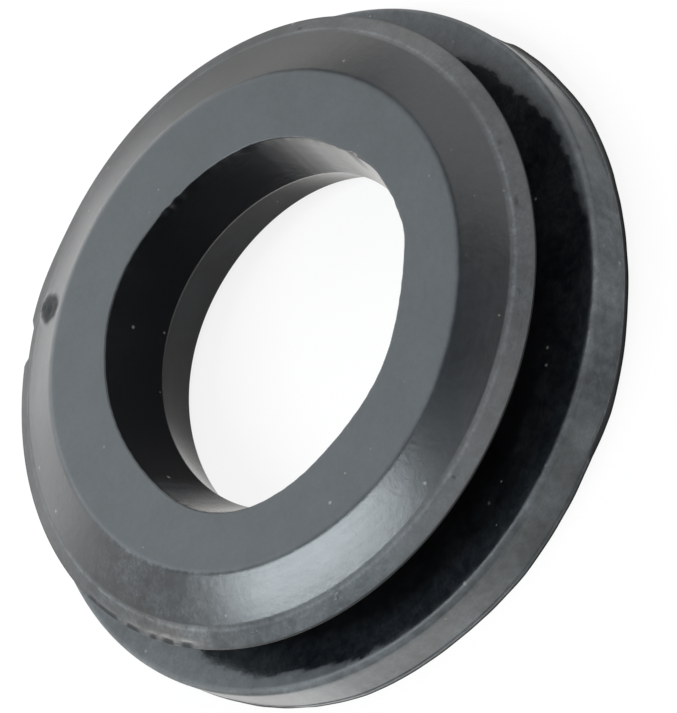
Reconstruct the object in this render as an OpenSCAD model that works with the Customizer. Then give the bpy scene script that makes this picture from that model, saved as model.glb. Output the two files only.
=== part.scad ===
// Vapor valve seal: a one-piece moulded rubber ring with two flanges.
// The bevelled front flange is pushed through a hole in a sheet, the sheet's
// edge sits in the groove round the neck, and the valve's neck is gripped by
// the narrow waist of the bore. The ring lies on its wide rear flange: +Z is
// its axis, towards the front face, and the origin is the centre of the rear face.

/* [Bore] */
// Width of the bore at its front mouth
mouth_d = 19; // [18.4:0.1:20.5]
// Width of the bore at its rear mouth, inside the chamfer
rear_mouth_d = 18.8; // [18.4:0.1:20.5]
// Width of the bore at its waist, which grips the valve neck
waist_d = 17.1; // [15:0.1:18]
// Height of the waist's lower edge above the rear face
waist_z = 3.5; // [2:0.1:4.5]
// Length of the straight band that the waist has
waist_band = 0.5; // [0.3:0.05:1.2]
// Size of the chamfer that leads a valve into the rear mouth
rear_chamfer = 0.55; // [0.2:0.05:1]
// Radius of the front mouth's edge
mouth_round = 0.12; // [0.05:0.01:0.3]

/* [Front flange] */
// Width of the flat front face, up to where the bevel starts
face_d = 26; // [24:0.1:28]
// Width at the shoulder, where the bevel turns into the steeper rim
shoulder_d = 30.7; // [29.5:0.1:32]
// Width over the rim
front_d = 32.8; // [32.4:0.1:34.5]
// Thickness of the flange where it leaves the neck
front_t = 2.05; // [1.9:0.05:3]
// Drop of the bevel, from the front face to the shoulder
bevel_drop = 1; // [0.6:0.05:1.15]
// Drop of the rim, from the shoulder to its edge
rim_drop = 0.62; // [0.3:0.02:0.66]
// Thickness of the flange at its very edge
rim_edge = 0.18; // [0.1:0.02:0.4]
// Radius that softens the crease between the face and the bevel
crease_round = 1.2; // [0.3:0.1:2]
// Radius that softens the shoulder
shoulder_round = 0.6; // [0.2:0.1:1]

/* [Groove] */
// Width of the neck, which fills the hole in the sheet
neck_d = 25.4; // [24:0.1:28]
// Height of the groove at the neck
groove_h = 2.6; // [1.2:0.1:4]
// Radius of both fillets at the foot of the groove
root_round = 0.35; // [0.1:0.05:0.5]

/* [Rear flange] */
// Width of the rear flange
rear_d = 35.6; // [34:0.1:40]
// Thickness of the rear flange
rear_t = 2.35; // [1.5:0.05:3]
// Radius of the rear flange's front edge
rear_round = 0.15; // [0.05:0.05:0.4]

/* [Mould marks] */
// Width of the fine lip that the mould leaves all round the rear face
lip_w = 0.12; // [0.04:0.02:0.24]
// Width of the wider flash fin on one side of the rear face
fin_w = 0.25; // [0.1:0.05:0.8]
// Thickness of the lip and the fin
fin_t = 0.25; // [0.1:0.05:0.4]
// Direction, from +X towards +Y, in which the fin starts
fin_start = -140; // [-180:5:180]
// Angle that the fin covers
fin_sweep = 134; // [30:1:200]
// Direction of the gate mark on the bevel
gate_angle = 104; // [0:1:360]
// Radius of the round tool that leaves the gate mark
gate_tool_r = 0.75; // [0.5:0.05:1.5]
// Depth of the gate mark below the bevel
gate_depth = 0.25; // [0.1:0.05:0.4]

/* [Hidden] */
$fn = 180;
arc_steps = 6;
height = rear_t + groove_h + front_t;
shoulder_z = height - bevel_drop;
rim_top_z = shoulder_z - rim_drop;
rim_low_z = rim_top_z - rim_edge;
bevel_angle = atan2(bevel_drop, (shoulder_d - face_d) / 2);
fin_root = 0.5;
gate_r = (face_d + shoulder_d) / 4;
gate_z = height - bevel_drop / 2;

// Section of the ring as corners [radius, height, rounding], anticlockwise
// from the rear face.
rear_flange_corners = [
    [rear_mouth_d / 2 + rear_chamfer, 0, 0],
    [rear_d / 2 + lip_w, 0, 0],
    [rear_d / 2 + lip_w, fin_t, 0],
    [rear_d / 2, fin_t, 0],
    [rear_d / 2, rear_t, rear_round],
];
groove_corners = [
    [neck_d / 2, rear_t, root_round],
    [neck_d / 2, rear_t + groove_h, root_round],
];
front_flange_corners = [
    [front_d / 2, rim_low_z, 0],
    [front_d / 2, rim_top_z, 0],
    [shoulder_d / 2, shoulder_z, shoulder_round],
    [face_d / 2, height, crease_round],
];
bore_corners = [
    [mouth_d / 2, height, mouth_round],
    [waist_d / 2, waist_z + waist_band, 0],
    [waist_d / 2, waist_z, 0],
    [rear_mouth_d / 2, rear_chamfer, 0],
];
corners = concat(rear_flange_corners, groove_corners, front_flange_corners, bore_corners);

function flat(p) = [p[0], p[1]];

// Arc that rounds corner b, which lies between points a and c, to radius r
function corner_arc(a, b, c, r) =
    let (
        to_a = (a - b) / norm(a - b),
        to_c = (c - b) / norm(c - b),
        half = acos(to_a * to_c) / 2,
        centre = b + (to_a + to_c) / norm(to_a + to_c) * r / sin(half),
        start = b + to_a * r / tan(half) - centre,
        end = b + to_c * r / tan(half) - centre,
        from = atan2(start[1], start[0]),
        turn = (atan2(end[1], end[0]) - from + 540) % 360 - 180
    )
    [for (i = [0 : arc_steps]) centre + r * [cos(from + turn * i / arc_steps), sin(from + turn * i / arc_steps)]];

// Outline through the corners, each rounded to its own radius
function rounded(list) =
    let (n = len(list))
    [
        for (i = [0 : n - 1])
            each list[i][2] == 0
                ? [flat(list[i])]
                : corner_arc(flat(list[(i + n - 1) % n]), flat(list[i]), flat(list[(i + 1) % n]), list[i][2])
    ];

// The moulded ring: rear flange, neck, front flange and waisted bore in one section
module ring() {
    rotate_extrude() polygon(rounded(corners));
}

// Flash fin squeezed out at the mould's parting face, over part of the rim
module flash_fin() {
    rotate([0, 0, fin_start])
        rotate_extrude(angle = fin_sweep)
            translate([rear_d / 2 - fin_root, 0])
                square([fin_root + fin_w, fin_t]);
}

// Round-bottomed mark on the bevel, where the sprue was cut off
module gate_mark() {
    lift = gate_tool_r - gate_depth;
    rotate([0, 0, gate_angle])
        translate([gate_r + lift * sin(bevel_angle), 0, gate_z + lift * cos(bevel_angle)])
            sphere(r = gate_tool_r, $fn = 48);
}

module seal() {
    color("#5f6366")
        difference() {
            union() {
                ring();
                flash_fin();
            }
            gate_mark();
        }
}

seal();
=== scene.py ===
"""Vapor valve seal: one moulded black rubber ring with a bevelled front flange,
a groove round its neck, a wide rear flange and a waisted bore."""

import math

import bpy
import numpy as np
from mathutils import Matrix, Quaternion, Vector


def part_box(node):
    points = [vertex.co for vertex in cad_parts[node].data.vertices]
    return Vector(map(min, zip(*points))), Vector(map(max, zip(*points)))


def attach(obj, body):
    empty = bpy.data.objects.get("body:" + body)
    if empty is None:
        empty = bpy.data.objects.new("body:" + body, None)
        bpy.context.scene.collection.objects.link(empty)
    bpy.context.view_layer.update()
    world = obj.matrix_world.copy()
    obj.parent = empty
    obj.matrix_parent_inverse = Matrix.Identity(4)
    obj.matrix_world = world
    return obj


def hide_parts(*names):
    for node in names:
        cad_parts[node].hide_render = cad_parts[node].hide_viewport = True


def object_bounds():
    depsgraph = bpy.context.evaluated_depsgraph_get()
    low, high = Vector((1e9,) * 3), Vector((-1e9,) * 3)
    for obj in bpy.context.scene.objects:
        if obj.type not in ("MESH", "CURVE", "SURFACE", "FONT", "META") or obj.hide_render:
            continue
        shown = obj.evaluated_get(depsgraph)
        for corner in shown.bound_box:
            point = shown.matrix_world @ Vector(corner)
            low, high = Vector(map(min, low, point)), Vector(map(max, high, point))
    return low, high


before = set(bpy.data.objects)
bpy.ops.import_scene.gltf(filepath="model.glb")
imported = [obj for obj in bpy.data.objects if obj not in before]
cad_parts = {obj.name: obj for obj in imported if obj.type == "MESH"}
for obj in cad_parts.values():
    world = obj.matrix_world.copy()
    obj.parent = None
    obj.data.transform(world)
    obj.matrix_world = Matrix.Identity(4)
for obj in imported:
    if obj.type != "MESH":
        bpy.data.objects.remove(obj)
cad_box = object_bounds()
MM = 0.001

# ---------------------------------------------------------------- sizes, mm
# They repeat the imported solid's, so the dressed ring stands where it stands.

MOUTH_D, MOUTH_EDGE = 19.0, 0.08
WAIST_D, WAIST_Z, WAIST_BAND = 17.1, 3.5, 0.10
REAR_MOUTH_D, REAR_CHAMFER = 18.8, 0.55
FACE_D, CREASE_ROUND = 26.0, 1.0
SHOULDER_D, SHOULDER_ROUND, BEVEL_DROP = 30.7, 0.6, 1.0
FRONT_D, RIM_DROP, RIM_EDGE = 32.8, 0.62, 0.12
NECK_D, ROOT_ROUND = 25.4, 0.35
REAR_D, REAR_T, REAR_ROUND = 35.6, 2.35, 0.32
GROOVE_H = 2.6
LIP_W, LIP_T = 0.12, 0.25
GATE_ANGLE, GATE_LONG, GATE_WIDE, GATE_DEPTH = 105.0, 2.1, 1.45, 0.25
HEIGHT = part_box("seal")[1].z / MM
SHOULDER_Z = HEIGHT - BEVEL_DROP
RIM_TOP_Z = SHOULDER_Z - RIM_DROP

AROUND = 500        # copies of the section round the ring
EDGE_STEP = 0.05    # first and last step along each flat of the section
WELD = 0.0004       # the last copy falls on the first, and is joined to it


# ------------------------------------------------------------ small helpers

def linear(hex_colour, alpha=1.0):
    """sRGB hex to the linear colour that a socket takes."""
    out = []
    for i in (1, 3, 5):
        c = int(hex_colour[i:i + 2], 16) / 255
        out.append(c / 12.92 if c <= 0.04045 else ((c + 0.055) / 1.055) ** 2.4)
    return (*out, alpha)


def add(tree, kind, inputs=None, **settings):
    """Adds one node: its settings, then its inputs by name or number. Each input is a value, an
    output to link, or a node whose first output is linked."""
    node = tree.nodes.new(kind)
    for name, value in settings.items():
        setattr(node, name, value)
    for name, value in (inputs or {}).items():
        if isinstance(value, bpy.types.Node):
            value = value.outputs[0]
        socket = node.inputs[name]
        if isinstance(value, bpy.types.NodeSocket):
            tree.links.new(value, socket)
        else:
            socket.default_value = value
    return node


MATH, RANGE, NOISE = "ShaderNodeMath", "ShaderNodeMapRange", "ShaderNodeTexNoise"
VECTOR = "ShaderNodeVectorMath"
EASED = {"interpolation_type": "SMOOTHSTEP"}


# ------------------------------------------------------- section of the ring

def corner_arc(before, corner, after, radius, steps):
    """Points of the arc that rounds a corner."""
    b = np.array(corner)
    to_a = np.array(before) - b
    to_c = np.array(after) - b
    to_a = to_a / np.linalg.norm(to_a)
    to_c = to_c / np.linalg.norm(to_c)
    half = math.acos(float(to_a @ to_c)) / 2
    centre = b + (to_a + to_c) / np.linalg.norm(to_a + to_c) * radius / math.sin(half)
    start = b + to_a * radius / math.tan(half) - centre
    end = b + to_c * radius / math.tan(half) - centre
    first = math.atan2(start[1], start[0])
    turn = (math.atan2(end[1], end[0]) - first + 3 * math.pi) % (2 * math.pi) - math.pi
    angles = [first + turn * i / steps for i in range(steps + 1)]
    return [centre + radius * np.array([math.cos(a), math.sin(a)]) for a in angles]


def section_line():
    """Closed section of the ring, anticlockwise from the rear mouth: points (radius, height) in mm,
    the length along the section at each, and the stations of its corners along that length."""
    # name, radius, height, rounding, steps of the rounding, longest step after it
    corners = [
        ("chamfer foot", REAR_MOUTH_D / 2 + REAR_CHAMFER, 0, 0.05, 3, 1.2),
        ("lip foot", REAR_D / 2 + LIP_W, 0, 0.03, 2, 0.1),
        ("lip top", REAR_D / 2 + LIP_W, LIP_T, 0.04, 3, 0.06),
        ("lip root", REAR_D / 2, LIP_T, 0.03, 3, 0.25),
        ("rear edge", REAR_D / 2, REAR_T, REAR_ROUND, 5, 0.17),
        ("groove foot", NECK_D / 2, REAR_T, ROOT_ROUND, 5, 0.8),
        ("groove top", NECK_D / 2, REAR_T + GROOVE_H, ROOT_ROUND, 5, 0.8),
        ("rim foot", FRONT_D / 2, RIM_TOP_Z - RIM_EDGE, 0.045, 3, 0.1),
        ("rim", FRONT_D / 2, RIM_TOP_Z, 0.045, 3, 0.13),
        ("shoulder", SHOULDER_D / 2, SHOULDER_Z, SHOULDER_ROUND, 5, 0.2),
        ("crease", FACE_D / 2, HEIGHT, CREASE_ROUND, 6, 0.35),
        ("mouth", MOUTH_D / 2, HEIGHT, MOUTH_EDGE, 4, 0.25),
        ("waist", WAIST_D / 2, WAIST_Z + WAIST_BAND, 0.05, 2, 0.15),
        ("waist foot", WAIST_D / 2, WAIST_Z, 0.05, 2, 0.3),
        ("rear mouth", REAR_MOUTH_D / 2, REAR_CHAMFER, 0.06, 3, 0.2),
    ]
    n = len(corners)
    arcs = []
    for i, (_, r, z, rounding, steps, _) in enumerate(corners):
        before, after = corners[i - 1][1:3], corners[(i + 1) % n][1:3]
        arcs.append(corner_arc(before, (r, z), after, rounding, steps))
    points, middles = [], []
    for i, corner in enumerate(corners):
        middles.append(len(points) + corner[4] // 2)
        points += arcs[i]
        a, b = arcs[i][-1], arcs[(i + 1) % n][0]
        span = float(np.linalg.norm(b - a))
        # the short first and last step keep the shading of the flat apart from the roundings'
        hold = min(EDGE_STEP, span / 4)
        inner = span - 2 * hold
        count = max(1, math.ceil(inner / corner[5]))
        points += [a + (b - a) * (hold + inner * k / count) / span for k in range(count + 1)]
    points = np.array(points)
    steps = np.linalg.norm(np.diff(points, axis=0), axis=1)
    along = np.concatenate([[0.0], np.cumsum(steps)])
    stations = {corner[0]: float(along[middle]) for corner, middle in zip(corners, middles)}
    return points, along, stations


# -------------------------------------------------- turning it, in a node tree

def turning_tree(finish):
    """Node tree that turns a section line about +Z into a closed ring of evenly spaced copies."""
    tree = bpy.data.node_groups.new("turn the section", "GeometryNodeTree")
    face = tree.interface
    face.new_socket("Section", in_out="INPUT", socket_type="NodeSocketGeometry")
    face.new_socket("Around", in_out="INPUT", socket_type="NodeSocketInt")
    face.new_socket("Section points", in_out="INPUT", socket_type="NodeSocketInt")
    face.new_socket("Weld", in_out="INPUT", socket_type="NodeSocketFloat")
    face.new_socket("Ring", in_out="OUTPUT", socket_type="NodeSocketGeometry")
    given = add(tree, "NodeGroupInput")
    section, around = given.outputs["Section"], given.outputs["Around"]
    count = given.outputs["Section points"]
    columns = add(tree, MATH, {0: around, 1: 1.0}, operation="ADD")
    rows = add(tree, MATH, {0: count, 1: 1.0}, operation="ADD")
    grid = add(tree, "GeometryNodeMeshGrid", {"Vertices X": columns, "Vertices Y": rows})
    index = add(tree, "GeometryNodeInputIndex")
    column = add(tree, MATH, {0: index, 1: rows}, operation="DIVIDE")
    column = add(tree, MATH, {0: column}, operation="FLOOR")
    row = add(tree, MATH, {0: index, 1: rows}, operation="MODULO")
    row = add(tree, MATH, {0: row, 1: count}, operation="MODULO")
    turn = add(tree, MATH, {0: column, 1: around}, operation="DIVIDE")
    angle = add(tree, MATH, {0: turn, 1: 2 * math.pi}, operation="MULTIPLY")
    place = add(tree, "GeometryNodeInputPosition")
    point = add(tree, "GeometryNodeSampleIndex", {0: section, 1: place, "Index": row},
                data_type="FLOAT_VECTOR", domain="POINT")
    turned = add(tree, "ShaderNodeVectorRotate",
                 {"Vector": point, "Axis": (0, 0, 1), "Angle": angle}, rotation_type="AXIS_ANGLE")
    length = add(tree, "GeometryNodeInputNamedAttribute", {"Name": "along"}, data_type="FLOAT")
    length = add(tree, "GeometryNodeSampleIndex", {0: section, 1: length, "Index": row},
                 data_type="FLOAT", domain="POINT")
    ring = add(tree, "GeometryNodeSetPosition", {"Geometry": grid, "Position": turned})
    ring = add(tree, "GeometryNodeStoreNamedAttribute",
               {"Geometry": ring, "Name": "along", "Value": length},
               data_type="FLOAT", domain="POINT")
    welded = add(tree, "GeometryNodeMergeByDistance",
                 {"Geometry": ring, "Distance": given.outputs["Weld"]})
    real = add(tree, "GeometryNodeRealizeInstances", {"Geometry": welded})
    painted = add(tree, "GeometryNodeSetMaterial", {"Geometry": real, "Material": finish})
    add(tree, "NodeGroupOutput", {"Ring": painted})
    return tree


def turned_ring(section, along, finish):
    """The section turned into one plain closed mesh, normals outwards. Every vertex keeps its
    length along the section."""
    line = bpy.data.meshes.new("section line")
    line.from_pydata([(r * MM, 0, z * MM) for r, z in section], [], [])
    stored = line.attributes.new("along", "FLOAT", "POINT")
    stored.data.foreach_set("value", along.astype(np.float32))
    holder = bpy.data.objects.new("section line", line)
    bpy.context.scene.collection.objects.link(holder)
    maker = holder.modifiers.new("turn", "NODES")
    maker.node_group = turning_tree(finish)
    sizes = {"Around": AROUND, "Section points": len(section), "Weld": WELD * MM}
    for item in maker.node_group.interface.items_tree:
        if item.name in sizes:
            maker[item.identifier] = sizes[item.name]
    bpy.context.view_layer.update()
    depsgraph = bpy.context.evaluated_depsgraph_get()
    mesh = bpy.data.meshes.new_from_object(holder.evaluated_get(depsgraph))
    mesh.name = "seal_ring"
    bpy.data.objects.remove(holder)
    bpy.data.meshes.remove(line)
    ring = bpy.data.objects.new("seal_ring", mesh)
    bpy.context.scene.collection.objects.link(ring)
    return ring


# ------------------------------------------------- what the mould and use leave

def lobes(azimuth, list_of_lobes):
    """Sum of waves round the ring, each (order, height in mm, phase in degrees)."""
    return sum(h * np.cos(k * azimuth - math.radians(p)) for k, h, p in list_of_lobes)


def step_up(x, low, high):
    """0 below low, 1 above high, smooth between."""
    t = np.clip((x - low) / (high - low), 0, 1)
    return t * t * (3 - 2 * t)


def hump(x, centre, half_width):
    """1 at the centre, 0 beyond the half width, smooth between."""
    return 1 - step_up(np.abs(x - centre), 0, half_width)


def tent(x, low, top, high):
    """1 at the top, falling in straight lines to 0 at low and high."""
    return np.clip(np.minimum((x - low) / (top - low), (high - x) / (high - top)), 0, 1)


def stretch(x, start, full, fade, end):
    """0 outside start and end, 1 from full to fade, smooth between."""
    return step_up(x, start, full) * (1 - step_up(x, fade, end))


def along_list(x, pairs):
    """Value of a list of (place, value) pairs at x."""
    return np.interp(x, [p[0] for p in pairs], [p[1] for p in pairs])


def uneven(azimuth, seed, finest):
    """Repeatable unevenness round the ring between -1 and 1, down to the finest order."""
    rng = np.random.default_rng(seed)
    orders = np.arange(3, finest)
    heights = rng.normal(size=len(orders)) / np.sqrt(len(orders))
    phases = rng.uniform(0, 2 * math.pi, len(orders))
    out = np.zeros_like(azimuth)
    for k, h, p in zip(orders, heights, phases):
        out += h * np.cos(k * azimuth + p)
    return np.clip(out, -1, 1)


# A soft ring is never quite round: order, height in mm and phase in degrees of each lobe.
MOUTH_LOBES = [(0, 0.016, 0), (1, 0.098, -72), (2, 0.126, -23), (3, 0.215, -89), (4, 0.076, 112),
               (5, 0.068, -147), (6, 0.068, 169), (7, 0.025, 125), (8, 0.025, 71)]
WAIST_LOBES = [(0, 0.027, 0), (1, 0.025, 179), (2, 0.153, 33), (3, 0.179, -29), (4, 0.023, -84)]
REAR_MOUTH_LOBES = [(0, -0.024, 0), (1, 0.072, -25), (2, 0.028, 85), (3, 0.049, -11), (4, 0.03, 78)]
CREASE_LOBES = [(2, 0.06, -165), (3, 0.04, 30), (5, 0.03, -124)]
FRONT_LOBES = [(2, 0.03, 159), (3, 0.02, 110), (4, 0.02, 168)]
REAR_LOBES = [(0, 0.031, 0), (1, 0.014, 6), (2, 0.052, -10), (3, 0.008, 23), (4, 0.03, -21)]

# A stretch round the ring is four azimuths in degrees: it starts, is full, starts to fade and ends.
# The front rim is pressed in over one stretch and the mouth's edge over a shorter one; in mm.
RIM_FLAT, RIM_FLAT_DEPTH = (12, 45, 88, 104), 0.19
MOUTH_FLAT, MOUTH_FLAT_DEPTH = (-46, -35, -29, -17), 0.17
# Nicks in the mouth's edge and in the rim beside the gate.
MOUTH_NICK, MOUTH_NICK_DEPTH = (-11.6, -11.1, -9, -6.4), 0.13
RIM_NICK, RIM_NICK_DEPTH = (106.3, 108.3, 114.1, 114.7), 0.22
# Trimming leaves the mouth's edge a little ragged all round, and more so over one stretch.
RAGGED_MOUTH, RAGGED_DEPTH, RAGGED_MORE = (60, 64, 72, 76), 0.012, 0.035
# Fine pits in the front rim, just under the shoulder, darkened in colour as painted shade:
# azimuth and half length in degrees.
RIM_PITS = [(-150, 0.5), (-131, 0.4), (-100, 0.5), (-65, 0.5), (-48, 1.1), (-35, 0.4), (25, 0.6),
            (60, 0.4)]
PIT_DEPTH, PIT_DROP = 0.03, 0.5
# A ragged cut under the front rim, where the flash was pulled off, also darkened along its
# length as a painted shadow line: degrees from azimuth 180.
CUT, CUT_DEPTH, CUT_DROP, CUT_WIDTH = (-17, -12, 13, 20), 0.06, 0.12, 0.28
# The bevel swells a little between shoulder and crease.
BEVEL_CROWN = 0.03

# How far the rear flange's rim flares at its foot, and how far the flash stands out from it where
# it was torn off: azimuth, width in mm.
FLARE = [(-168, 0.0), (-150, 0.17), (-142, 0.27), (-134, 0.23), (-122, 0.17), (-108, 0.27),
         (-97, 0.20), (-93, 0.18), (-90, 0.16), (-87.6, 0.17), (-86.4, 0.08), (-84, 0.11),
         (-80, 0.20), (-74, 0.23), (-62, 0.12), (-44, 0.11), (-26, 0.16), (-19, 0.08), (-6, 0.05),
         (0, 0.0)]
FLASH = [(-170, 0.03), (-160, 0.06), (-140, 0.06), (-87.4, 0.06), (-86.6, 0.17), (-84, 0.20),
         (-80, 0.20), (-74, 0.12), (-62, 0.07), (-50, 0.08), (-44, 0.12), (-28, 0.20), (-19, 0.20),
         (-5.5, 0.20), (-4.6, 0.115), (160, 0.115), (172, 0.03)]
# Over one stretch the flash is thinner than the lip.
THIN_FLASH, THINNED_BY = (-165, -150, -5.5, -4.6), 0.17

# How dusty the rear flange's rim is: azimuth and share.
RIM_DUST = [(-180, 0.6), (-160, 0.55), (-150, 0.85), (-140, 0.9), (-125, 0.65), (-100, 0.65),
            (-80, 0.8), (-60, 1.0), (-45, 1.0), (-25, 0.7), (0, 0.9), (160, 0.9), (180, 0.6)]
# Width of the dusty band on the rear flange, from its edge inwards: azimuth, width in mm.
# Further inwards the face is left black: painted shade where the front flange's shadow and
# reflection fall on it.
DUST_BAND_TO_SHADE = [(-180, 2.6), (-174, 2.2), (-172.5, 1.5), (-170, 1.3), (-166, 1.16), (-162, 1.02),
              (-157.5, 0.74), (-154, 0.86), (-149, 0.86), (-143, 0.70), (-136, 0.45), (-130, 0.36),
              (-100, 0.18), (-60, 0.14), (-45, 0.46), (-30, 0.76), (-20, 1.16), (-10, 1.46),
              (15, 1.9), (90, 2.3), (160, 2.3), (180, 2.6)]
# Stretches where the bloom differs: thinned as painted shade, soft-edged, gone from the lip, or
# lighter.
SHADED_NEAR_SIDE = (-140, -125, -60, -35)
SOFT_BAND = (-60, -30, 20, 40)
CLEAN_LIP = (-160, -150, -88, -86.8)
LIGHTER_RIM_STRETCH = (-172, -160, -130, -115)
# greyed stretch of the bore: partly dust, partly a painted reflection
BORE_DUST_AND_SHEEN = (-60, -20, 15, 40)
SPECKLED_FRONT = (-20, -5, 15, 32)      # degrees from azimuth 180

# What each zone adds to the bloom and its painted light and shade (1 is grey all over), to its
# blotches and to the roughness.
BLOOM_AND_PAINTED_LIGHT = {"face": 0.42, "bevel": 0.09, "front rim": 0.27, "lighter front rim stretch": 0.12,
         "rear face": 0.50, "dusty band": 0.54, "painted shade on the band": -0.34, "groove": 0.06,
         "rear bore": 0.20, "bore dust and sheen": 0.25, "speckled bevel": 0.04}
MOTTLE = {"all": 1.0, "face": -0.65, "groove": 1.6, "front rim": 0.6, "speckled bevel": 3.5}
SATIN = {"all": 0.30, "face": 0.06, "dusty band": 0.14, "groove": -0.10, "rear edge": 0.12,
         "front rim's foot": 0.25, "bore": -0.08, "lip": 0.65}


def surface_of(ring):
    """Azimuth in radians, radius, height and length along the section of every vertex, in mm."""
    mesh = ring.data
    co = np.empty(len(mesh.vertices) * 3, np.float32)
    mesh.vertices.foreach_get("co", co)
    co = co.reshape(-1, 3).astype(float) / MM
    along = np.empty(len(mesh.vertices), np.float32)
    mesh.attributes["along"].data.foreach_get("value", along)
    x, y, z = co.T
    return np.arctan2(y, x), np.hypot(x, y), z, along.astype(float)


def from_far_side(deg):
    """Degrees from azimuth 180, so that a stretch may run across it."""
    return deg % 360 - 180


def mould_and_wear(ring, at):
    """Moves the vertices to the shape that the mould, the trimming and the handling leave."""
    az, r, z, along = surface_of(ring)
    deg = np.degrees(az)
    # each corner of the section moves out by its own shape, less and less towards its neighbours
    mouth = lobes(az, MOUTH_LOBES) - MOUTH_FLAT_DEPTH * stretch(deg, *MOUTH_FLAT)
    front = lobes(az, FRONT_LOBES) - RIM_FLAT_DEPTH * stretch(deg, *RIM_FLAT)
    moves = [
        (at["crease"], at["mouth"], at["waist"], mouth),
        (at["mouth"], at["waist"], at["rear mouth"], lobes(az, WAIST_LOBES)),
        (at["waist foot"], at["rear mouth"], at["rear mouth"] + 0.9, lobes(az, REAR_MOUTH_LOBES)),
        (at["shoulder"], at["crease"], at["mouth"], lobes(az, CREASE_LOBES)),
        (at["groove top"], at["rim"], at["crease"], front),
        (at["lip root"], at["rear edge"], at["groove foot"], lobes(az, REAR_LOBES)),
    ]
    out = sum(tent(along, low, top, high) * shape for low, top, high, shape in moves)
    edge = at["mouth"] + 0.05
    ragged = RAGGED_DEPTH + RAGGED_MORE * stretch(deg, *RAGGED_MOUTH)
    out += hump(along, edge, 0.22) * ragged * uneven(az, 4, 90)
    out += tent(along, edge - 0.2, edge, edge + 1.55) * stretch(deg, *MOUTH_NICK) * MOUTH_NICK_DEPTH
    out -= hump(along, at["rim"], 0.7) * stretch(deg, *RIM_NICK) * RIM_NICK_DEPTH
    # the rear flange's rim flares towards its foot over one side, and thin flash is left along it
    flare = along_list(deg, FLARE)
    foot = np.where(along > at["lip root"],
                    tent(along, at["lip root"] - 1, at["lip root"], at["rear edge"]),
                    step_up(r, REAR_D / 2 - 0.8, REAR_D / 2))
    foot *= (along < at["rear edge"])
    lip = step_up(r, REAR_D / 2 + 0.02, REAR_D / 2 + LIP_W) * (along < at["lip root"])
    flash = along_list(deg, FLASH) - LIP_W
    out += foot * flare + lip * (flash + 0.012 * uneven(az, 9, 70) * (flare > 0.02))
    upper = along > (at["lip foot"] + at["lip top"]) / 2
    z = z - lip * stretch(deg, *THIN_FLASH) * upper * THINNED_BY
    r = r + out
    half = (at["crease"] - at["shoulder"]) / 2
    z = z + BEVEL_CROWN * np.clip(1 - ((along - at["shoulder"] - half) / half) ** 2, 0, 1)
    z = z - CUT_DEPTH * ragged_cut(az, deg) * hump(along, at["rim"] + CUT_DROP, CUT_WIDTH)
    for place, reach in RIM_PITS:
        pit = hump(deg, place, 2 * reach) * hump(along, at["shoulder"] - PIT_DROP, 0.2)
        z = z - PIT_DEPTH * pit
    torn_floor = 1 + 0.3 * np.sin(9 * r) * np.cos(60 * az)
    z = z - GATE_DEPTH * np.clip(1 - gate_distance(az, r, z) ** 2, 0, 1) * torn_floor
    placed = np.stack([r * np.cos(az), r * np.sin(az), z], 1) * MM
    placed = np.clip(placed, np.array(cad_box[0]), np.array(cad_box[1]))
    ring.data.vertices.foreach_set("co", placed.astype(np.float32).ravel())
    ring.data.update()


def gate_distance(az, r, z):
    """Distance from the middle of the gate mark, 1 at its torn oval edge."""
    turn = az - math.radians(GATE_ANGLE)
    inwards = (r * np.cos(turn) - (FACE_D + SHOULDER_D) / 4 - 0.2) / (GATE_LONG / 2)
    sideways = r * np.sin(turn) / (GATE_WIDE / 2)
    around = np.arctan2(sideways, inwards)
    ragged = 0.10 * np.sin(2 * around + 0.8) + 0.05 * np.sin(3 * around) + 0.05 * np.sin(7 * around)
    on_bevel = (z > SHOULDER_Z - 0.45) & (np.cos(turn) > 0.9)
    return np.where(on_bevel, np.hypot(inwards, sideways) * (1 + ragged), 9.0)


def ragged_cut(az, deg):
    """Depth, 0 to 1, of the cut under the front rim."""
    return stretch(from_far_side(deg), *CUT) * np.clip(0.95 + 0.8 * uneven(az, 51, 110), 0, 1)


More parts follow.
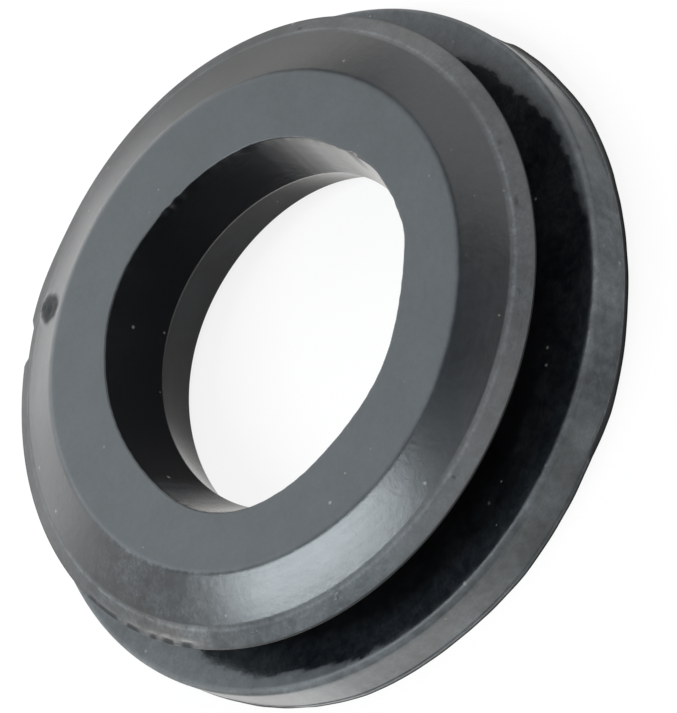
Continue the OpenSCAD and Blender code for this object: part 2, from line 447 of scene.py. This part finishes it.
def finish_zones(ring, at):
    """Stores where the bloom and its painted light and shade lie, how blotchy, how satin, how torn
    each zone is and where the pits and the cut are painted dark, as attributes that the rubber
    reads."""
    az, r, z, along = surface_of(ring)
    deg = np.degrees(az)

    def between(low, high, soft=0.08):
        return stretch(along, low - soft, low + soft, high - soft, high + soft)

    on_face = between(at["crease"], at["mouth"])
    on_front_rim = between(at["rim"], at["shoulder"])
    on_bevel = between(at["shoulder"] + 0.1, at["crease"])
    in_groove = between(at["rear edge"] + 0.12, at["groove foot"])
    speckled = stretch(from_far_side(deg), *SPECKLED_FRONT)

    bloom_and_painted_light = BLOOM_AND_PAINTED_LIGHT["face"] * on_face
    bloom_and_painted_light += BLOOM_AND_PAINTED_LIGHT["bevel"] * between(at["shoulder"], at["crease"])
    # the front rim is greyed more over one stretch, so it renders lighter there
    front_rim = BLOOM_AND_PAINTED_LIGHT["front rim"] + BLOOM_AND_PAINTED_LIGHT["lighter front rim stretch"] * stretch(deg, *LIGHTER_RIM_STRETCH)
    bloom_and_painted_light += front_rim * between(at["rim"] + 0.06, at["shoulder"])
    bloom_and_painted_light += BLOOM_AND_PAINTED_LIGHT["rear face"] * between(0, at["lip foot"])
    # handling leaves faint streaks across the rear flange's rim
    streaks = 1 + 0.10 * uneven(az, 31, 200) + 0.14 * uneven(az, 32, 40)
    rim_low = at["lip root"] - 0.02 - 0.12 * stretch(deg, *CLEAN_LIP)
    on_rear_rim = between(rim_low, at["rear edge"] + 0.12, 0.05)
    bloom_and_painted_light += along_list(deg, RIM_DUST) * streaks * on_rear_rim
    # the rear flange is dusty in a band along its edge; inwards of the band the rubber is left
    # black, and over one side the band is greyed less: both are painted shade of the front flange
    shaded_near_side = stretch(deg, *SHADED_NEAR_SIDE)
    stray = 0.10 * uneven(az, 21, 26) + 0.13 * uneven(az, 22, 110) + 0.05 * uneven(az, 23, 220)
    reach = along_list(deg, DUST_BAND_TO_SHADE) + stray * (1 - 0.5 * shaded_near_side) * (1 - 0.6 * (deg < -140))
    soft = 0.04 + 0.08 * stretch(deg, *SOFT_BAND) + 0.28 * shaded_near_side
    dust_outside_shade = 1 - step_up(along - at["rear edge"], reach - soft, reach + soft)
    dust = BLOOM_AND_PAINTED_LIGHT["dusty band"] + BLOOM_AND_PAINTED_LIGHT["painted shade on the band"] * shaded_near_side
    bloom_and_painted_light += dust * dust_outside_shade * between(at["rear edge"] + 0.12, at["groove foot"], 0.05)
    # beyond the band only a trace of grey is left, the painted shade on the rear flange's face
    bloom_and_painted_light += BLOOM_AND_PAINTED_LIGHT["groove"] * (1 - dust_outside_shade) * in_groove
    bloom_and_painted_light += BLOOM_AND_PAINTED_LIGHT["rear bore"] * between(at["waist foot"], at["rear mouth"] + 0.8, 0.15)
    # two sides of the bore are greyed in streaks that run with the axis: partly dust, partly a
    # painted reflection
    bore_dust_and_sheen = stretch(deg, *BORE_DUST_AND_SHEEN) + 1.5 * step_up(np.abs(deg), 166, 180)
    bore_dust_and_sheen = bore_dust_and_sheen * (1 + 0.5 * uneven(az, 41, 120))
    bloom_and_painted_light += BLOOM_AND_PAINTED_LIGHT["bore dust and sheen"] * bore_dust_and_sheen * between(at["mouth"] + 0.1, at["waist foot"])
    bloom_and_painted_light += BLOOM_AND_PAINTED_LIGHT["speckled bevel"] * speckled * on_bevel

    mottle = MOTTLE["all"] + MOTTLE["face"] * on_face
    mottle += MOTTLE["groove"] * (1 - dust_outside_shade) * between(at["rear edge"], at["groove foot"])
    rim_blotches = MOTTLE["front rim"] * on_front_rim
    mottle += rim_blotches + speckled * (rim_blotches + MOTTLE["speckled bevel"] * on_bevel)

    satin = SATIN["all"] + SATIN["face"] * on_face
    satin += SATIN["dusty band"] * dust_outside_shade * between(at["rear edge"] - 0.2, at["groove foot"])
    satin += SATIN["groove"] * (1 - dust_outside_shade) * between(at["rear edge"] + 0.15, at["groove foot"])
    satin += SATIN["rear edge"] * between(at["rear edge"] - 0.25, at["rear edge"] + 0.25, 0.1)
    satin += SATIN["front rim's foot"] * between(at["rim foot"] - 0.1, at["rim"] + 0.02, 0.04)
    satin += SATIN["bore"] * between(at["mouth"] + 0.05, at["rear mouth"])
    satin += SATIN["lip"] * between(at["lip foot"] - 0.3, rim_low - 0.06)

    torn_and_shade = 1 - step_up(gate_distance(az, r, z + GATE_DEPTH), 0.65, 1.2)
    # painted shade: the cut under the front rim and the pits are darkened like the torn gate
    torn_and_shade = np.maximum(torn_and_shade, ragged_cut(az, deg) * hump(along, at["rim"] + CUT_DROP, CUT_WIDTH))
    for place, reach in RIM_PITS:
        pit = hump(deg, place, 2 * reach) * hump(along, at["shoulder"] - PIT_DROP, 0.22)
        torn_and_shade = np.maximum(torn_and_shade, 0.8 * pit)
    for name, values in (("bloom_and_painted_light", bloom_and_painted_light), ("mottle", mottle), ("satin", satin), ("torn_and_shade", torn_and_shade)):
        stored = ring.data.attributes.new(name, "FLOAT", "POINT")
        stored.data.foreach_set("value", values.astype(np.float32))


# ------------------------------------------------------------------ materials

# the grey is the bloom's, and also the colour of the painted highlights and the painted reflection
CARBON_BLACK, GREY_OF_BLOOM_AND_PAINTED_LIGHT, DUST = "#0a0d11", "#777d82", "#a3a39c"


def seal_rubber(at):
    """Nitrile rubber, compression moulded: carbon black all through, satin from the mould's
    polished steel, with fine turning lines from the cavity. In storage a grey bloom of wax and
    sulphur comes to the surface; it lies thicker on the flat face. The grey also carries painted
    light: painted highlights in thin lines under the shoulder and inside the crease, a painted
    reflection on two sides of the bore, and painted shade where the rear flange's face is left
    black by the groove and where the pits and the cut under the rim are darkened."""
    material = bpy.data.materials.new("moulded nitrile rubber")
    material.use_nodes = True
    tree = material.node_tree
    tree.nodes.clear()
    where = add(tree, "ShaderNodeTexCoord").outputs["Object"]
    along, bloom_and_painted_light, mottle, satin, torn_and_shade = (
        add(tree, "ShaderNodeAttribute", attribute_name=name).outputs["Fac"]
        for name in ("along", "bloom_and_painted_light", "mottle", "satin", "torn_and_shade"))

    # clouds of bloom, flecks in them, its grain, drawn coarse enough to show, and the peel of the
    # moulded skin: width in mm and detail of each
    cloud, fleck, grain, peel = (
        add(tree, NOISE, {"Vector": where, "Scale": 1 / (width * MM), "Detail": detail})
        for width, detail in ((2.4, 3.0), (0.5, 3.0), (0.16, 2.0), (0.3, 3.0)))
    # turning lines: 0.15 mm apart across the section and long round the ring
    flat = add(tree, VECTOR, {0: where, 1: (1, 1, 0)}, operation="MULTIPLY")
    around = add(tree, VECTOR, {0: flat}, operation="NORMALIZE")
    around = add(tree, VECTOR, {0: around, "Scale": 5.0}, operation="SCALE")
    line = add(tree, MATH, {0: along, 1: 1 / 0.15}, operation="MULTIPLY")
    across = add(tree, "ShaderNodeCombineXYZ", {"Z": line})
    lined = add(tree, VECTOR, {0: around, 1: across}, operation="ADD")
    lines = add(tree, NOISE, {"Vector": lined, "Scale": 1.0, "Detail": 2.0})

    # painted highlights: thin lines of extra grey under the shoulder and inside the crease: middle,
    # width, gain
    painted_highlight_lines = ((at["shoulder"] - 0.24, 0.16, 0.30), (at["crease"] + 0.04, 0.24, 0.16))
    for middle, width, gain in painted_highlight_lines:
        off = add(tree, MATH, {0: along, 1: middle}, operation="SUBTRACT")
        off = add(tree, MATH, {0: off}, operation="ABSOLUTE")
        extra = add(tree, RANGE, {0: off, 1: 0.0, 2: width, 3: gain, 4: 0.0}, **EASED)
        bloom_and_painted_light = add(tree, MATH, {0: bloom_and_painted_light, 1: extra}, operation="ADD")
    # it is uneven in clouds and flecks, grainy, and gone where the rubber is torn and where the
    # pits and the cut under the rim are darkened as painted shade
    clouds = add(tree, RANGE, {0: cloud, 1: 0.3, 2: 0.7, 3: -0.22, 4: 0.22}, **EASED)
    flecks = add(tree, RANGE, {0: fleck, 1: 0.3, 2: 0.7, 3: -0.16, 4: 0.16}, **EASED)
    patchy = add(tree, MATH, {0: clouds, 1: flecks}, operation="ADD")
    blotch = add(tree, MATH, {0: patchy, 1: mottle, 2: 1.0}, operation="MULTIPLY_ADD")
    grains = add(tree, RANGE, {0: grain, 1: 0.25, 2: 0.75, 3: -0.08, 4: 0.08}, **EASED)
    grainy = add(tree, MATH, {0: grains, 1: mottle, 2: 0.5}, operation="MULTIPLY_ADD")
    left = add(tree, RANGE, {0: torn_and_shade, 1: 0.0, 2: 1.0, 3: 1.0, 4: 0.1}, **EASED)
    for share in (blotch, grainy, left):
        bloom_and_painted_light = add(tree, MATH, {0: bloom_and_painted_light, 1: share}, operation="MULTIPLY")
    # black to grey by the bloom, which also carries painted highlights, a painted reflection and
    # painted shade
    rubber = add(tree, "ShaderNodeMix", {0: bloom_and_painted_light, 6: linear(CARBON_BLACK), 7: linear(GREY_OF_BLOOM_AND_PAINTED_LIGHT)},
                 data_type="RGBA")

    # sparse specks of dust, 0.12 to 0.3 mm across
    cell = add(tree, "ShaderNodeTexVoronoi", {"Vector": where, "Scale": 1 / (0.4 * MM)})
    lot = add(tree, "ShaderNodeSeparateColor", {0: cell.outputs["Color"]})
    size = add(tree, RANGE, {0: lot.outputs[1], 1: 0.0, 2: 1.0, 3: 2.0, 4: 0.8}, **EASED)
    away = add(tree, MATH, {0: cell.outputs["Distance"], 1: size}, operation="MULTIPLY")
    spot = add(tree, RANGE, {0: away, 1: 0.05, 2: 0.30, 3: 1.0, 4: 0.0}, **EASED)
    drawn = add(tree, RANGE, {0: lot.outputs[0], 1: 0.970, 2: 0.990, 3: 0.0, 4: 0.5}, **EASED)
    speck = add(tree, MATH, {0: spot, 1: drawn}, operation="MULTIPLY")
    colour = add(tree, "ShaderNodeMix", {0: speck, 6: rubber.outputs[2], 7: linear(DUST)},
                 data_type="RGBA")

    # turning lines and clouds change the gloss a little; torn rubber and dust are dull
    line_gloss = add(tree, RANGE, {0: lines, 1: 0.3, 2: 0.7, 3: -0.01, 4: 0.01}, **EASED)
    torn_dull = add(tree, RANGE, {0: torn_and_shade, 1: 0.0, 2: 1.0, 3: 0.0, 4: 0.5}, **EASED)
    rough = add(tree, MATH, {0: satin, 1: line_gloss}, operation="ADD")
    rough = add(tree, MATH, {0: patchy, 1: 0.03, 2: rough}, operation="MULTIPLY_ADD")
    rough = add(tree, MATH, {0: rough, 1: torn_dull}, operation="ADD")
    rough = add(tree, MATH, {0: speck, 1: 0.3, 2: rough}, operation="MULTIPLY_ADD")

    # relief: the skin's peel, with flecks, turning lines, dust and torn grain on it
    torn_grain = add(tree, MATH, {0: grain, 1: torn_and_shade}, operation="MULTIPLY")
    height = peel
    for relief, gain in ((fleck, 1.2), (lines, 0.25), (speck, 0.8), (torn_grain, 6.0)):
        height = add(tree, MATH, {0: relief, 1: gain, 2: height}, operation="MULTIPLY_ADD")
    bump = add(tree, "ShaderNodeBump", {"Height": height, "Strength": 0.4, "Distance": 0.013 * MM})
    shader = add(tree, "ShaderNodeBsdfPrincipled",
                 {"Base Color": colour.outputs[2], "Roughness": rough, "IOR": 1.6, "Normal": bump})
    add(tree, "ShaderNodeOutputMaterial", {"Surface": shader})
    return material


section, along_section, at = section_line()
ring = turned_ring(section, along_section, seal_rubber(at))
mould_and_wear(ring, at)
finish_zones(ring, at)
for polygon in ring.data.polygons:
    polygon.use_smooth = True
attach(ring, "root")
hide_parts("seal")


# ------------------------------------------------------------- floor and light

FLOOR_HALF = 3.0        # metres
FLOOR_GAP = 0.01        # mm under the rear face, so that the two never coincide
FLOOR_GLOW = 0.85       # share of plain white that the camera sees; the rest takes the shadow
SWEEP_TOP, CEILING = (0.25, 0.45), 0.03     # heights between which the sweep ends
CARD, UNDER = 1.15, 0.2                     # brightness of the card, and right under the ring
FAR_BACK, PATCH_GAIN = 0.4, 1.6


def studio_floor():
    """White card that shows white and keeps the ring's shadow. Gloss looks through it, at the sweep
    and the card that the world draws below the horizon."""
    mesh = bpy.data.meshes.new("floor")
    s, low = FLOOR_HALF, -FLOOR_GAP * MM
    mesh.from_pydata([(-s, -s, low), (s, -s, low), (s, s, low), (-s, s, low)], [], [(0, 1, 2, 3)])
    floor = bpy.data.objects.new("floor", mesh)
    bpy.context.scene.collection.objects.link(floor)
    material = bpy.data.materials.new("white card")
    material.use_nodes = True
    tree = material.node_tree
    tree.nodes.clear()
    path = add(tree, "ShaderNodeLightPath").outputs
    matt = add(tree, "ShaderNodeBsdfDiffuse", {"Color": linear("#f2f1ee")})
    glow = add(tree, "ShaderNodeEmission", {"Color": (1, 1, 1, 1), "Strength": 1.0})
    through = add(tree, "ShaderNodeBsdfTransparent")
    seen = add(tree, MATH, {0: path["Is Camera Ray"], 1: FLOOR_GLOW}, operation="MULTIPLY")
    card = add(tree, "ShaderNodeMixShader", {0: seen, 1: matt, 2: glow})
    mirrored = add(tree, MATH, {0: path["Is Glossy Ray"], 1: path["Is Transmission Ray"]},
                   operation="MAXIMUM")
    mix = add(tree, "ShaderNodeMixShader", {0: mirrored, 1: card, 2: through})
    add(tree, "ShaderNodeOutputMaterial", {"Surface": mix})
    floor.data.materials.append(material)


def eased_product(tree, steps):
    """Product of steps, each (value, low, high, at low, at high) and eased between low and high."""
    product = 1.0
    for value, low, high, at_low, at_high in steps:
        step = add(tree, RANGE, {0: value, 1: low, 2: high, 3: at_low, 4: at_high}, **EASED)
        product = add(tree, MATH, {0: step, 1: product}, operation="MULTIPLY")
    return product


def studio_world():
    """White sweep with a dim ceiling. Below the horizon lies the white card that gloss mirrors: it
    ends towards the dark side of the room, dims far back and straight under the ring, and has one
    brighter patch low on the left."""
    world = bpy.data.worlds.new("studio")
    bpy.context.scene.world = world
    world.use_nodes = True
    tree = world.node_tree
    tree.nodes.clear()
    path = add(tree, "ShaderNodeLightPath").outputs
    room = add(tree, "ShaderNodeTexCoord").outputs["Generated"]
    x, y, z = add(tree, "ShaderNodeSeparateXYZ", {0: room}).outputs
    sweep = eased_product(tree, [(z, *SWEEP_TOP, 1.0, CEILING)])
    card = eased_product(tree, [(z, -0.88, -0.70, UNDER, CARD), (y, 0.75, 0.95, 1.0, FAR_BACK)])
    lit_side = add(tree, MATH, {0: x, 1: -0.35, 2: y}, operation="MULTIPLY_ADD")
    height = add(tree, MATH, {0: x, 1: 0.15, 2: z}, operation="MULTIPLY_ADD")
    dark = eased_product(tree, [(lit_side, 0.35, 0.8, 0.94, 0.0), (height, -0.68, -0.56, 0.0, 1.0)])
    room_side = add(tree, MATH, {0: 1.0, 1: dark}, operation="SUBTRACT")
    patch = eased_product(tree, [(x, -0.5, -0.3, 1.0, 0.0), (y, 0.54, 0.64, 1.0, 0.0),
                                 (z, -0.73, -0.67, 0.0, 1.0), (z, -0.62, -0.58, 1.0, 0.0)])
    bright = add(tree, MATH, {0: patch, 1: PATCH_GAIN, 2: 1.0}, operation="MULTIPLY_ADD")
    for share in (room_side, bright):
        card = add(tree, MATH, {0: card, 1: share}, operation="MULTIPLY")
    horizon = eased_product(tree, [(z, -0.06, 0.0, 0.0, 1.0)])
    strength = add(tree, "ShaderNodeMix", {0: horizon, 2: card, 3: sweep})
    around = add(tree, "ShaderNodeBackground", {"Color": linear("#fffefb"), "Strength": strength})
    white = add(tree, "ShaderNodeBackground", {"Color": (1, 1, 1, 1), "Strength": 1.0})
    both = add(tree, "ShaderNodeMixShader", {0: path["Is Camera Ray"], 1: around, 2: white})
    add(tree, "ShaderNodeOutputWorld", {"Surface": both})


def softbox(name, azimuth, elevation, half_width, half_height, radiance, colour="#ffffff", lean=0):
    """Softbox a metre away, given by direction and half angles in degrees. Radiance 1 looks white,
    and the top leans towards larger azimuths."""
    light = bpy.data.lights.new(name, "AREA")
    light.shape = "RECTANGLE"
    light.size = 2 * math.tan(math.radians(half_width))
    light.size_y = 2 * math.tan(math.radians(half_height))
    light.energy = radiance * math.pi * light.size * light.size_y
    light.color = linear(colour)[:3]
    lamp = bpy.data.objects.new(name, light)
    bpy.context.scene.collection.objects.link(lamp)
    a, e = math.radians(azimuth), math.radians(elevation)
    out = Vector((math.cos(e) * math.cos(a), math.cos(e) * math.sin(a), math.sin(e)))
    lamp.rotation_mode = "QUATERNION"
    leaning = Quaternion((0, 0, 1), -math.radians(lean))
    lamp.rotation_quaternion = out.to_track_quat("Z", "Y") @ leaning
    lamp.location = out


studio_floor()
studio_world()
softbox("key softbox", 157.5, 61, 7, 18, 15.5, "#effaff", lean=29)
softbox("back softbox", 98, 20, 19, 20, 1.6, "#fbfdff")
softbox("horizon strip", 95, 0, 9, 4, 2.0)
softbox("corner softbox", 128, 32, 9, 10, 0.9)
softbox("face softbox", 99, 47, 10, 8, 2.4, "#effaff")
softbox("top softbox", -89, 67, 32, 4, 5.2)
softbox("right softbox", 6, 44, 35, 18, 1.4)
softbox("left strip", 148, 12, 6, 11, 10, "#fffdf9")
softbox("low softbox", 64, 20, 35, 6, 1.4, "#fffdf9")


# --------------------------------------------------------------------- camera

VIEW_TILT, VIEW_ROLL = 43.683, 24.748       # degrees away from the ring's axis, and round it
FOCAL_PX = 7000.0
PX_PER_MM = 20.2919                         # at the middle of the front face
FRAME_W, FRAME_H = 677, 713
FACE_CENTRE_PX = (249.90, 319.37)
SENSOR = 36.0


def aim_camera():
    """Puts the camera where the middle of the front face falls on its own pixel."""
    turn = Matrix.Rotation(math.radians(VIEW_TILT), 4, "X")
    turn = turn @ Matrix.Rotation(math.radians(VIEW_ROLL - 90), 4, "Z")
    depth = FOCAL_PX / PX_PER_MM * MM
    right = (FACE_CENTRE_PX[0] - (FRAME_W - 1) / 2) / FOCAL_PX * depth
    up = -(FACE_CENTRE_PX[1] - (FRAME_H - 1) / 2) / FOCAL_PX * depth
    seen = turn.to_3x3() @ Vector((right, up, -depth))
    data = bpy.data.cameras.new("camera")
    data.sensor_width = SENSOR
    data.lens = SENSOR * FOCAL_PX / max(FRAME_W, FRAME_H)
    data.clip_start, data.clip_end = 0.01, 20
    camera = bpy.data.objects.new("camera", data)
    bpy.context.scene.collection.objects.link(camera)
    camera.matrix_world = Matrix.Translation(Vector((0, 0, HEIGHT * MM)) - seen) @ turn
    bpy.context.scene.camera = camera


aim_camera()
bpy.context.scene.view_settings.view_transform = "Standard"
